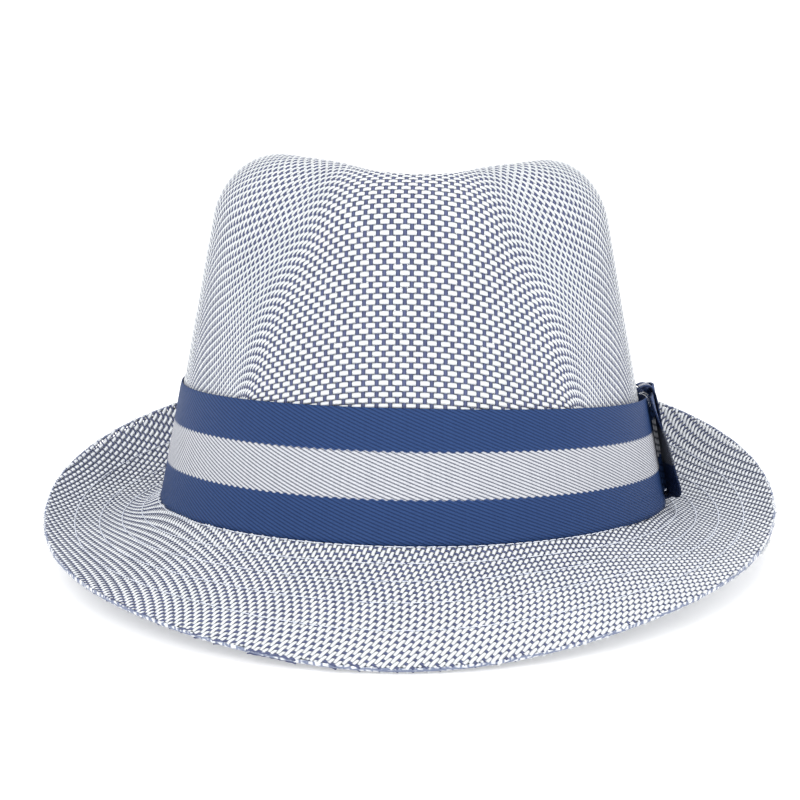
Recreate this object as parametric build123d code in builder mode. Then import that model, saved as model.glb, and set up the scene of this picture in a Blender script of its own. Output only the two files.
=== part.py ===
from build123d import *
import os
from math import asin, cos, degrees, exp, hypot, pi, radians, sin

# A short-brimmed summer trilby in woven paper straw, standing on a table as it rests when put down.
# Millimetres. +X is the wearer's left, +Y the back, +Z up; the brim's front faces -Y.
# Every piece is drawn on the headline plane, where crown and brim meet at height 0, and then seated:
# the hat tips back onto the rear of its headline, so its front rim and that edge carry it.
# Angles are the headline oval's own angle in degrees: 0 wearer's left, 90 back, 270 front.

# crown: one blocked sheet of straw
crown_half_width = 85.3
crown_half_length = 103.7
head_egg = 0.03               # the oval is wider behind its middle
straw = 1.0                   # thickness of the woven straw
ridge_half_width = 47.0
ridge_half_length = 70.0
ridge_back_shift = 2.0
ridge_teardrop = 0.22         # how much wider the ridge is behind than in front
ridge_side_height = 118.5
ridge_front_height = 114.3
ridge_back_height = 110.0
crown_lean = 1.3              # the top stands a little to the wearer's left
crown_roll = 1.0              # and its right ridge is that much higher
shoulder_height_share = 0.827
shoulder_inward_share = 0.457
wall_share = 0.62             # share of the wall's parameter below the shoulder
dent_depth = 22.0
pinch_depth = 7.0
pinch_angle = 43.0            # from the front, on each side
pinch_spread = 17.0
pinch_height_share = 0.88
pinch_height_spread = 0.20
pinch_run_out = 0.35          # how fast a pinch fades down the dent

# brim: two plies of straw with a stiffener between, quilted together by rows of stitches
rim_half_width = 124.4
rim_front = 148.0
rim_back = 129.0
rim_middle_height = 3.5
rim_tilt = 31.0               # the back rim is this much higher, the front rim this much lower
rim_roll = 2.0
rim_corner_lift = 4.0         # the rim turns up a little between its front and its sides
sag_front = -3.0              # the front rolls over, the sides and the back curl up
sag_side = 5.0
sag_back = 8.0
upper_ply = 0.8
stiffener_ply = 0.5
lower_ply = 0.8
gap = 0.06                    # left between layers that lie on each other
stiffener_top = upper_ply + gap
lower_top = stiffener_top + stiffener_ply + gap
brim_thickness = lower_top + lower_ply
join_drop = 0.2               # the brim's inner edge under the crown's edge
join_inset = 0.5
rim_lip = 1.2                 # width of the upper ply's edge turned over the rim
stitch_rows = (0.04, 0.18, 0.35, 0.54, 0.75)   # shares of the brim's width
thread = 0.4

# sweatband
sweatband_thickness = 0.8
sweatband_height = 31.0
sweatband_bottom = -2.0
headline_seam_height = 0.4
sweatband_seam_height = 1.0
label_half_angle = 12.0
label_bottom = 7.0
label_height = 16.0
label_thickness = 0.3

# hat ribbon and bow, the bow on the wearer's left
ribbon_thickness = 0.6
ribbon_bottom = 1.6
ribbon_width = 42.6
ribbon_dip = 7.4              # how far the bow draws the ribbon's upper edge down
ribbon_far_dip = 2.2          # and how much lower it sits on the other side of the hat
ribbon_dip_spread = 65.0
ribbon_swell = 2.4            # how far the ribbon stands off the crown under the bow
ribbon_swell_spread = 30.0
bow_angle = 2.0
bow_ply = 0.6
bow_bottom = 1.6
bow_height = 36.0
tail_base = ribbon_swell + 1.5 * bow_ply   # how far outward of the wall the bow's layers start
bow_base = tail_base + 1.7 * bow_ply
knot_base = bow_base + 2.5 * bow_ply
wing_reach = 14.0             # the front wing's free edge, forward of the knot
wing_stand_off = 9.6          # how far its lower half stands off the wall there
wing_tacked = 4.0             # and its upper corner, which is tacked down
wing_steps = 6
bow_rear_reach = 25.0
bow_rear_depth = 5.0
bow_pinch = 2.2               # plies of ribbon that the knot squeezes a loop down to
bow_taper = 0.22              # share of its depth that the loop lacks half-way out
bow_tail_reach = 36.0
tail_slant = 9.0
tail_lift = 1.0               # how far the tail's free end stands off
tail_top = 36.0
knot_width = 13.0
knot_bottom = 0.2
knot_top = 39.8
tack_thread = 0.25            # clear thread that tacks the ribbon to the crown beside the bow
tack_loop = 4.0
tack_height = 39.6
tack_reach = 12.0
tack_stand_off = 4 * gap

# resting pose
pitch = -6.13                 # front up
roll = 0.57
seat_x = -0.09                # puts the origin under the middle of the hat
seat_y = 8.09
seat_height = 13.45

section_step = 10             # degrees between the sections of a ring
ring_points = 36
wall_steps = 8                # the wall is straight up to half its height, and has levels above
shoulder_levels = 8
dent_levels = 9
dent_crowding = 1.3           # the dent's levels lie closer together near the ridge
brim_points = 6


def seated():
    """Where the headline plane stands when the hat rests on a table."""
    return Location((seat_x, seat_y, seat_height), (pitch, roll, 0))


def wave(angle):
    return cos(radians(angle)), sin(radians(angle))


def gap_between(angle, other):
    """Smallest difference of two angles, in degrees."""
    return (angle - other + 180) % 360 - 180


def oval(angle, inset):
    c, s = wave(angle)
    x = (crown_half_width - inset) * c * (1 + head_egg * s)
    return x, (crown_half_length - inset) * s


def ridge(angle, inset):
    c, s = wave(angle)
    x = (ridge_half_width - inset) * c * (1 + ridge_teardrop * s) + crown_lean
    y = (ridge_half_length - inset) * s + ridge_back_shift
    middle = (ridge_front_height + ridge_back_height) / 2
    ends = middle + (ridge_back_height - ridge_front_height) / 2 * s
    return x, y, ends + (ridge_side_height - middle) * c * c - crown_roll * c - inset


def wall_profile(t):
    """Shares of the way inward and of the way up, from the headline (0) to the ridge (1)."""
    if t < wall_share:
        return shoulder_inward_share * t / wall_share, shoulder_height_share * t / wall_share
    turn = (t - wall_share) / (1 - wall_share) * pi / 2
    slope = shoulder_inward_share / shoulder_height_share
    blend = slope * (1 - shoulder_height_share) / (1 - shoulder_inward_share)
    inward = blend * sin(turn) + (1 - blend) * (1 - cos(turn))
    return (shoulder_inward_share + (1 - shoulder_inward_share) * inward,
            shoulder_height_share + (1 - shoulder_height_share) * sin(turn))


def pinch(angle, height_share):
    """Depth of the two finger pinches beside the front of the crown."""
    level = exp(-((height_share - pinch_height_share) / pinch_height_spread) ** 2)
    sides = [gap_between(angle, 270 + side * pinch_angle) / pinch_spread for side in (-1, 1)]
    return pinch_depth * level * sum(exp(-side ** 2) for side in sides)


def crown_point(angle, t, inset):
    """A point of the crown: t is 0 at the headline, 1 on the ridge, 2 at the bottom of the dent."""
    ridge_x, ridge_y, ridge_z = ridge(angle, inset)
    if t <= 1:
        base_x, base_y = oval(angle, inset)
        inward, upward = wall_profile(t)
        x = base_x + (ridge_x - base_x) * inward
        y = base_y + (ridge_y - base_y) * inward
        z = ridge_z * upward
        level = upward
    else:
        share = 2 - t
        bottom = (ridge_side_height + ridge_front_height) / 2 - dent_depth - inset
        x = crown_lean + (ridge_x - crown_lean) * share
        y = ridge_back_shift + (ridge_y - ridge_back_shift) * share
        z = ridge_z + (bottom - ridge_z) * (1 - share ** 2) ** 2
        level = 1 + pinch_run_out * (1 - share)
    c, s = wave(angle)
    across, along = c / crown_half_width, s / crown_half_length
    depth = pinch(angle, level) / hypot(across, along)
    return x - depth * across, y - depth * along, z


def wall_point(angle, height):
    """A point of the crown's straight lower wall, at a height over the headline."""
    t = wall_share * height / (shoulder_height_share * ridge(angle, 0)[2])
    x, y, _ = crown_point(angle, t, 0)
    return Vector(x, y, height)


def rim(angle):
    c, s = wave(angle)
    reach = rim_back if s > 0 else rim_front
    corner = rim_corner_lift * (2 * s * c) ** 2 * max(0, -s)
    return rim_half_width * c, reach * s, rim_middle_height + rim_tilt * s + rim_roll * c + corner


def sag(angle):
    """How far the middle of the brim hangs below the straight line from headline to rim."""
    s = wave(angle)[1]
    return sag_side + (sag_back - sag_front) / 2 * s + ((sag_back + sag_front) / 2 - sag_side) * s * s


def brim_plane(angle):
    """The upright plane that holds the brim's section; its X runs from the headline to the rim."""
    start_x, start_y = oval(angle, join_inset)
    end_x, end_y, _ = rim(angle)
    outward = Vector(end_x - start_x, end_y - start_y, 0).normalized()
    return Plane(origin=(start_x, start_y, 0), x_dir=outward, z_dir=outward.cross(Vector(0, 0, 1)))


def brim_width(angle):
    start_x, start_y = oval(angle, join_inset)
    end_x, end_y, _ = rim(angle)
    return hypot(end_x - start_x, end_y - start_y)


def brim_point(angle, share, depth):
    """A point of the brim's section: share 0 at the headline, 1 at the rim; depth below its top."""
    width = brim_width(angle)
    drop = rim(angle)[2] + join_drop
    bow = 4 * sag(angle)
    height = drop * share - bow * share * (1 - share) - join_drop
    slope = (drop - bow * (1 - 2 * share)) / width
    length = hypot(1, slope)
    lean = min(1, share * brim_points) * slope / length
    return width * share + depth * lean, height - depth / length


def place(plane):
    """A plane of the headline frame, where it stands on the resting hat."""
    return Plane(seated() * plane.location)


def ply_section(angle, top, bottom, lip):
    """Section of one brim ply between two depths; lip is how deep it turns down at the rim."""
    shares = [i / brim_points for i in range(brim_points + 1)]
    end = 1 if lip else 1 - (rim_lip + gap) / brim_width(angle)
    upper = [brim_point(angle, share * end, top) for share in shares]
    inner_end = 1 - rim_lip / brim_width(angle)
    lower_end = inner_end if lip else end
    lower = [brim_point(angle, share * lower_end, bottom) for share in reversed(shares)]
    with BuildSketch(place(brim_plane(angle))) as section:
        with BuildLine():
            Spline(*upper)
            if lip:
                Polyline(upper[-1], brim_point(angle, 1, lip), brim_point(angle, inner_end, lip), lower[0])
            else:
                Line(upper[-1], lower[0])
            Spline(*lower)
            Line(lower[-1], upper[0])
        make_face()
    return section.sketch.face()


def wall_plane(angle):
    """The upright plane square to the headline oval; its X points outward and its Y up."""
    x, y = oval(angle, 0)
    c, s = wave(angle)
    outward = Vector(c / crown_half_width, s / crown_half_length, 0).normalized()
    return Plane(origin=(x, y, 0), x_dir=outward, z_dir=outward.cross(Vector(0, 0, 1)))


def wall_reach(angle, height):
    """How far outward of its foot the crown's wall stands at a height, in the wall plane."""
    plane = wall_plane(angle)
    return (wall_point(angle, height) - plane.origin).dot(plane.x_dir)


def wall_section(angle, bottom, top, inner, outer):
    """Section of a band along the crown's wall, between two distances outward of the wall."""
    low, high = wall_reach(angle, bottom), wall_reach(angle, top)
    foot = [(low + inner, bottom), (low + outer, bottom)]
    head = [(high + outer, top), (high + inner, top)]
    with BuildSketch(place(wall_plane(angle))) as section:
        with BuildLine():
            Polyline(*foot, *head, close=True)
        make_face()
    return section.sketch.face()


def thread_section(angle, share):
    """Section of a row of stitches that lies on the brim's upper ply."""
    half = thread / 2 / brim_width(angle)
    near, far = share - half, share + half
    low, high = -gap, -gap - thread
    corners = [(near, low), (far, low), (far, high), (near, high)]
    with BuildSketch(place(brim_plane(angle))) as section:
        with BuildLine():
            Polyline(*[brim_point(angle, *corner) for corner in corners], close=True)
        make_face()
    return section.sketch.face()


def ring(section):
    """A closed ring through sections drawn at even angles, as two halves that meet in their sections."""
    for start in (0, 180):
        angles = range(start, start + 180 + section_step, section_step)
        loft(sections=[section(angle) for angle in angles], clean=False)


def crown_ring(t, inset):
    """One level of the crown, as a closed spline."""
    angles = [360 * i / ring_points for i in range(ring_points)]
    return Wire([Edge.make_spline([crown_point(angle, t, inset) for angle in angles], periodic=True)])


def crown_solid(inset):
    """The crown filled solid, up its wall, over the ridge and down to the bottom of the dent."""
    shoulder = [wall_share + (1 - wall_share) * i / shoulder_levels for i in range(shoulder_levels + 1)]
    dent = [1 + (i / dent_levels) ** dent_crowding for i in range(1, dent_levels)]
    wall = [0] + [wall_share * step / wall_steps for step in range(wall_steps // 2, wall_steps)]
    rings = [crown_ring(t, inset) for t in wall + shoulder + dent]
    return Solid.make_loft(rings + [Vertex(*crown_point(0, 2, inset))], ruled=True).moved(seated())


def ribbon_section(angle):
    """Section of the hat ribbon; its upper edge dips where the bow draws it down."""
    away = gap_between(angle, bow_angle)
    far = gap_between(angle, bow_angle + 180)
    dip = ribbon_dip * exp(-(away / ribbon_dip_spread) ** 2)
    dip += ribbon_far_dip * exp(-(far / ribbon_dip_spread) ** 2)
    inner = gap + ribbon_swell * exp(-(away / ribbon_swell_spread) ** 2)
    top = ribbon_bottom + ribbon_width - dip
    return wall_section(angle, ribbon_bottom, top, inner, inner + ribbon_thickness)


def sweatband_section(angle):
    outer = -straw - gap
    return wall_section(angle, sweatband_bottom, sweatband_height, outer - sweatband_thickness, outer)


def headline_seam_section(angle):
    """Section of the seam that holds crown and brim, on the outside, under the ribbon's lower edge."""
    return wall_section(angle, headline_seam_height, headline_seam_height + thread, gap, gap + thread)


def sweatband_seam_section(angle):
    """Section of the row of stitches that holds the sweatband, on its inner face."""
    outer = -straw - sweatband_thickness - 2 * gap
    return wall_section(angle, sweatband_seam_height, sweatband_seam_height + thread, outer - thread, outer)


def label_section(angle):
    """Section of the blank woven label sewn to the sweatband at the back."""
    outer = -straw - sweatband_thickness - 2 * gap
    top = label_bottom + label_height
    return wall_section(angle, label_bottom, top, outer - label_thickness, outer)


def bow_plane(height):
    """The plane square to the crown's wall at the bow: X outward, Y towards the back, Z up the wall."""
    upright = wall_plane(bow_angle)
    foot, head = wall_point(bow_angle, 0), wall_point(bow_angle, ribbon_width)
    up = (head - foot).normalized()
    outward = upright.z_dir.cross(up) * -1
    return place(Plane(origin=foot + up * height, x_dir=outward, z_dir=up))


def bow_fall(along):
    """How far the wall's foot lies inward of the bow plane's origin, at a distance along the ribbon."""
    start = wall_point(bow_angle, 0)
    angle = degrees(asin((start.Y + along) / crown_half_length))
    return (wall_point(angle, 0) - start).dot(wall_plane(bow_angle).x_dir)


def loop_outline(inset):
    """The rear loop of the bow seen from above: flat at the knot, a round fold at its end."""
    depth = bow_rear_depth
    start = knot_width / 2 + gap + inset
    fold = (depth - 2 * inset) / 2
    end = bow_rear_reach - depth / 2
    low, high = bow_base + inset, bow_base + depth - inset
    pinched = bow_base + bow_pinch * bow_ply - inset
    swelling = high - bow_taper * depth
    places = (start, (knot_width / 2 + end) / 2, end)
    with BuildLine() as outline:
        inner = Spline(*[(low + bow_fall(along), along) for along in places])
        heights = (pinched, swelling, high)
        outer = Spline(*[(height + bow_fall(along), along) for height, along in zip(heights, places)])
        ThreePointArc(inner @ 1, (low + fold + bow_fall(end), end + fold), outer @ 1)
        Line(inner @ 0, outer @ 0)
    return outline


def bow_loop():
    """The loop's solid: a band of ribbon folded round its outline."""
    with BuildSketch(bow_plane(bow_bottom)) as band:
        add(loop_outline(0).line)
        make_face()
        with BuildSketch(bow_plane(bow_bottom), mode=Mode.PRIVATE) as inside:
            add(loop_outline(bow_ply).line)
            make_face()
        add(inside.sketch_local, mode=Mode.SUBTRACT)
    extrude(band.sketch, amount=bow_height)


def wing_section(share):
    """Section of the front wing at a share of its height: one ply that leaves the knot and stands off."""
    ease = max(0, 2 * share - 1)
    free = wing_stand_off + (wing_tacked - wing_stand_off) * ease * ease * (3 - 2 * ease)
    places = [-(knot_width / 2 + gap) - wing_reach * step / wing_steps for step in range(wing_steps + 1)]
    rises = [bow_base + (free - bow_base) * (step / wing_steps) ** 1.5 for step in range(wing_steps + 1)]
    inner = [(rise + bow_fall(along), along) for rise, along in zip(rises, places)]
    outer = [(x + bow_ply, along) for x, along in inner]
    with BuildSketch(bow_plane(bow_bottom + bow_height * share)) as section:
        with BuildLine():
            Spline(*inner)
            Line(inner[-1], outer[-1])
            Spline(*reversed(outer))
            Line(outer[0], inner[0])
        make_face()
    return section.sketch.face()


def bow_tail_section(along):
    """Section of the tail that lies flat on the hat ribbon behind the bow; its end is cut on the slant."""
    cut = max(0, along - (bow_tail_reach - tail_slant)) / tail_slant
    near = tail_base + bow_fall(along) + tail_lift * (along / bow_tail_reach) ** 2
    far = near + bow_ply
    low = bow_bottom + cut * tail_slant
    plane = bow_plane(0)
    origin = plane.from_local_coords((0, along, 0))
    with BuildSketch(Plane(origin=origin, x_dir=plane.x_dir, z_dir=plane.y_dir * -1)) as section:
        with BuildLine():
            Polyline((near, low), (far, low), (far, tail_top), (near, tail_top), close=True)
        make_face()
    return section.sketch.face()


def knot_outline():
    """The knot seen from behind: down the front of the loops, over and under the hat ribbon's edges."""
    outside = knot_base + bow_ply
    inside = thread + 3 * gap
    return Polyline((inside, knot_top), (outside, knot_top), (outside, knot_bottom), (inside, knot_bottom),
                    (inside, knot_bottom + bow_ply), (knot_base, knot_bottom + bow_ply),
                    (knot_base, knot_top - bow_ply), (inside, knot_top - bow_ply), close=True)


os.makedirs("parts", exist_ok=True)

with BuildPart() as crown:
    add(crown_solid(0))
    add(crown_solid(straw), mode=Mode.SUBTRACT)
crown.part.label = "crown"
export_step(crown.part, "parts/crown.step")

with BuildPart() as brim_upper_ply:
    ring(lambda angle: ply_section(angle, 0, upper_ply, brim_thickness))
brim_upper_ply.part.label = "brim_upper_ply"
export_step(brim_upper_ply.part, "parts/brim_upper_ply.step")

with BuildPart() as brim_stiffener:
    ring(lambda angle: ply_section(angle, stiffener_top, stiffener_top + stiffener_ply, 0))
brim_stiffener.part.label = "brim_stiffener"
export_step(brim_stiffener.part, "parts/brim_stiffener.step")

with BuildPart() as brim_lower_ply:
    ring(lambda angle: ply_section(angle, lower_top, brim_thickness, 0))
brim_lower_ply.part.label = "brim_lower_ply"
export_step(brim_lower_ply.part, "parts/brim_lower_ply.step")

for number, row_share in enumerate(stitch_rows, 1):
    with BuildPart() as brim_stitches:
        ring(lambda angle: thread_section(angle, row_share))
    brim_stitches.part.label = f"brim_stitch_row_{number}"
    export_step(brim_stitches.part, f"parts/brim_stitch_row_{number}.step")

with BuildPart() as headline_seam:
    ring(headline_seam_section)
headline_seam.part.label = "headline_seam"
export_step(headline_seam.part, "parts/headline_seam.step")

with BuildPart() as sweatband:
    ring(sweatband_section)
sweatband.part.label = "sweatband"
export_step(sweatband.part, "parts/sweatband.step")

with BuildPart() as sweatband_seam:
    ring(sweatband_seam_section)
sweatband_seam.part.label = "sweatband_seam"
export_step(sweatband_seam.part, "parts/sweatband_seam.step")

with BuildPart() as sweatband_label:
    loft(sections=[label_section(90 + side * label_half_angle / 4) for side in range(-4, 5)], clean=False)
sweatband_label.part.label = "sweatband_label"
export_step(sweatband_label.part, "parts/sweatband_label.step")

with BuildPart() as ribbon:
    ring(ribbon_section)
ribbon.part.label = "ribbon"
export_step(ribbon.part, "parts/ribbon.step")

with BuildPart() as bow_front_wing:
    wing_sections = [wing_section(step / wing_steps) for step in range(wing_steps + 1)]
    loft(sections=wing_sections, ruled=True, clean=False)
bow_front_wing.part.label = "bow_front_wing"
export_step(bow_front_wing.part, "parts/bow_front_wing.step")

with BuildPart() as bow_rear_loop:
    bow_loop()
bow_rear_loop.part.label = "bow_rear_loop"
export_step(bow_rear_loop.part, "parts/bow_rear_loop.step")

with BuildPart() as bow_tail:
    stations = [0, bow_tail_reach / 4, bow_tail_reach / 2, bow_tail_reach - tail_slant, bow_tail_reach]
    loft(sections=[bow_tail_section(along) for along in stations], ruled=True, clean=False)
bow_tail.part.label = "bow_tail"
export_step(bow_tail.part, "parts/bow_tail.step")

with BuildPart() as bow_knot:
    knot_plane = bow_plane(0)
    knot_start = knot_plane.from_local_coords((0, -knot_width / 2, 0))
    with BuildSketch(Plane(origin=knot_start, x_dir=knot_plane.x_dir, z_dir=knot_plane.y_dir * -1)):
        with BuildLine():
            knot_outline()
        make_face()
    extrude(amount=-knot_width)
bow_knot.part.label = "bow_knot"
export_step(bow_knot.part, "parts/bow_knot.step")

for side, name in ((-1, "front"), (1, "rear")):
    with BuildPart() as ribbon_tack:
        loop_plane = bow_plane(tack_height)
        origin = loop_plane.from_local_coords((tack_stand_off, side * tack_reach, 0))
        with BuildSketch(Plane(origin=origin, x_dir=loop_plane.x_dir, z_dir=loop_plane.y_dir)):
            with Locations((tack_loop / 2, 0)):
                Circle(tack_loop / 2)
                Circle(tack_loop / 2 - tack_thread, mode=Mode.SUBTRACT)
        extrude(amount=tack_thread)
    ribbon_tack.part.label = f"ribbon_tack_{name}"
    export_step(ribbon_tack.part, f"parts/ribbon_tack_{name}.step")
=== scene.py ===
import math

import bpy
import numpy as np
from mathutils import Matrix, Vector


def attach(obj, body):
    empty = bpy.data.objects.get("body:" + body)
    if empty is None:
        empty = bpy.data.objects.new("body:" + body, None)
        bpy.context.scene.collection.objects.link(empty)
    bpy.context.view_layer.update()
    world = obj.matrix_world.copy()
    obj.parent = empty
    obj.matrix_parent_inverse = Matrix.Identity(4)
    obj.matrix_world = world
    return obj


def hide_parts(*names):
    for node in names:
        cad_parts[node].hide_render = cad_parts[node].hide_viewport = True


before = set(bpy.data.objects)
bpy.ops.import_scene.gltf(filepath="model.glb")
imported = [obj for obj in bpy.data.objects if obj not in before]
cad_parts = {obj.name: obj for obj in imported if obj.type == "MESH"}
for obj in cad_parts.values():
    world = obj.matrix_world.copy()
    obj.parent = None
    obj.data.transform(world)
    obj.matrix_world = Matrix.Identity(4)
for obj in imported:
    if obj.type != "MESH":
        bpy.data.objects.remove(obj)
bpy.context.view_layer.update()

# The hat is worked out in millimetres on its headline plane, where crown and brim meet, and then seated.
# Angles are the headline oval's own: 0 wearer's left, 90 back, 270 front.
SEAT_PITCH, SEAT_ROLL = math.radians(-6.13), math.radians(0.57)
SEAT_ORIGIN = Vector((-0.00009, 0.00809, 0.01345))
MM = 0.001

# crown
HALF_WIDTH, HALF_LENGTH, EGG = 85.3, 103.7, 0.03
RIDGE_HALF_WIDTH, RIDGE_HALF_LENGTH, RIDGE_SHIFT, RIDGE_TEARDROP = 47.0, 70.0, 2.0, 0.22
RIDGE_SIDE, RIDGE_FRONT, RIDGE_BACK = 118.5, 114.3, 110.0
CROWN_LEAN, CROWN_ROLL, DENT_DEPTH = 1.3, 1.0, 22.0
SHOULDER_UP, SHOULDER_IN = 0.827, 0.457
WALL_SHARE = 0.7527   # the wall's share of the crown's measure, which runs at one speed into the shoulder
PINCH_DEPTH, PINCH_ANGLE, PINCH_SPREAD, PINCH_UP, PINCH_UP_SPREAD = 7.0, 43.0, 17.0, 0.88, 0.20
PINCH_FADE = 0.35             # how fast the pinch fades over the top

# brim
RIM_HALF_WIDTH, RIM_FRONT, RIM_BACK = 124.4, 148.0, 129.0
RIM_MIDDLE, RIM_TILT, RIM_ROLL, RIM_CORNER_LIFT = 3.5, 31.0, 2.0, 4.0
SAG_FRONT, SAG_SIDE, SAG_BACK = -3.0, 5.0, 8.0
JOIN_INSET, JOIN_DROP = 0.5, 0.2
BRIM_THICKNESS, UPPER_DEPTH = 2.22, 0.4
LOWER_DEPTH = BRIM_THICKNESS - UPPER_DEPTH

# weave: white strips run across the crown, navy strips from front to back
STRIP_PITCH, WARP_PITCH = 1.8, 2.15
STRIP_WIDTH, WARP_WIDTH = 1.58, 1.30
STRIP_THICKNESS = 0.24
STRIP_WAVE, WARP_WAVE = 0.20, 0.13
STRAW_MIDDLE = 0.5
NARROWEST, WIDEST = 0.4, 1.1  # shares of a strip's full width, where strips crowd and where they spread
HIDDEN_BELOW = 28.0           # ribbon and sweatband cover the crown's wall below this height

# how the crown's sheet is blocked
NET_ACROSS, NET_ALONG = WARP_PITCH, STRIP_PITCH
NET_HALF_ACROSS, NET_HALF_ALONG = 92, 112
NET_REACH, NET_ROUNDS, QUARTER, LEVELS = 2.25, 50, 45, 226
EVEN_SHARE, NET_HURRY, NET_STEP = 0.12, 1.6, 0.02
FRONT_PANEL, SIDE_PANEL, CORNER_POWER = 0.40, 0.12, 1.4

# the brim's sheets
BRIM_TURN, BRIM_SHEAR = math.radians(74), -0.55
BRIM_INNER, BRIM_WIDTH, BRIM_SHEET_HALF = 100.0, 44.0, 150
MIDDLE_HALF_WIDTH, MIDDLE_HALF_LENGTH = 100.0, 120.0   # a rough oval half-way out across the brim
ROOT_RISE, ROOT_TILT, ROOT_RUN, STIFFENER_DEPTH = 2.3, 1.1, 6.0, 1.0
STRIPS_START, STRIPS_END = 0.01, 0.999
BRIM_FINENESS = 0.8           # the brim's straw is finer than the crown's
WHITE_SPREAD = (0.94, 0.17)   # a brim strip's share of its full width, and the change at the hat's sides
NAVY_SPREAD = (1.06, -0.45)
STITCH_ROWS = (0.04, 0.18, 0.35, 0.54, 0.75)
STITCH_PITCH, STITCH_SHARE, STITCH_THREAD = 3.2, 0.8, 0.36
STITCH_PROFILE = ((-0.5, 0.2), (-0.42, 0.8), (0.0, 1.0), (0.42, 0.8), (0.5, 0.2))
TURNED_EDGE = ((0.55, 0.5), (0.3, 0.36), (0.1, 0.45), (0.02, 0.7), (0.0, 1.1), (0.02, 1.5),
               (0.1, 1.75), (0.3, 1.84), (0.55, 1.7), (0.4, 1.4), (0.4, 0.8))   # inward, and below the top

# ribbon
RIBBON_BOTTOM, RIBBON_WIDTH, RIBBON_THICKNESS = 1.6, 42.6, 0.6
RIBBON_DIP, RIBBON_FAR_DIP, RIBBON_DIP_SPREAD = 7.4, 2.2, 65.0
RIBBON_SWELL, RIBBON_SWELL_SPREAD = 2.4, 30.0
RIBBON_GAP, RIBBON_EDGE = 0.08, 0.72
RIBBON_FOOT_OUT, RIBBON_FOOT_GAP = 1.8, 0.05
TOP_SLACK, TOP_WAVES, TOP_PHASE = 0.12, 7, 2.0
FOOT_SLACK, FOOT_WAVES = 0.08, 13
SEAM_SWELL, SEAM_RUN = 0.42, 2.0
STRIPE_LOW, STRIPE_HIGH, STRIPE_SCALLOP = 0.33, 0.685, 0.006
SCALLOP, TWILL_PITCH, TWILL_SLANT, WEFT_PITCH, TWILL_GROOVE = 3.1, 1.15, 0.38, 0.42, 2.6
TWILL_ROUGHNESS, TWILL_SPECULAR = 0.62, 0.15
NAVY_TWILL = (0.030, 0.072, 0.21, 1), (0.008, 0.022, 0.075, 1)

# bow, which is worked out outward of the crown's wall and up it
BOW_ANGLE = math.radians(2.0)
BOW_STRIPED_HEIGHT = 37.5
BOW_BOTTOM, BOW_HEIGHT, BOW_PLY, KNOT_WIDTH = 1.6, 36.0, 0.6, 13.0
WING_BASE, WING_REACH, WING_FREE, WING_TACKED = 4.3, 14.0, 9.6, 4.0
WING_CORNER, WING_ROUND, WING_CURL, WING_GAP, WING_RIPPLE = 0.16, 0.3, 0.2, 0.06, 0.25
KNOT_WAIST, KNOT_CAMBER = 0.07, 0.35
KNOT_PATH = ((0.9, 0.5), (6.0, 0.5), (6.2, 3.0), (6.2, 34.0), (5.2, 39.0), (3.0, 40.0), (0.9, 39.4))
TACK_AWAY = math.radians(9.0)
TACK_HEIGHT, TACK_HALF_HEIGHT, TACK_HALF_ANGLE = 36.2, 2.6, math.radians(2.2)
TACK_OUT, TACK_IN, TACK_BEND, TACK_THREAD = 3.6, 0.5, 0.5, 0.2

# studio
CAMERA_LENS = 117.6
CAMERA_PLACE, CAMERA_TARGET = (-3.1, -894.6, 133.6), (-3.1, 0.0, 34.8)
WORLD_STRENGTH, FLOOR_GLOW, FLOOR_HALF, FLOOR_DROP = 1.0, 0.3, 4, 0.0002


def seat():
    """How the hat rests, on its front rim and the back of its headline."""
    turn = Matrix.Rotation(SEAT_PITCH, 4, "X") @ Matrix.Rotation(SEAT_ROLL, 4, "Y")
    return Matrix.Translation(SEAT_ORIGIN) @ turn


SEAT = np.array(seat())


def to_world(points):
    """Headline millimetres to the frame's metres."""
    points = np.asarray(points, float) * MM
    return points @ SEAT[:3, :3].T + SEAT[:3, 3]


def smooth_oval(angle, inset=0.0):
    """The headline's oval."""
    c, s = np.cos(angle), np.sin(angle)
    return (HALF_WIDTH - inset) * c * (1 + EGG * s), (HALF_LENGTH - inset) * s


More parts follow.
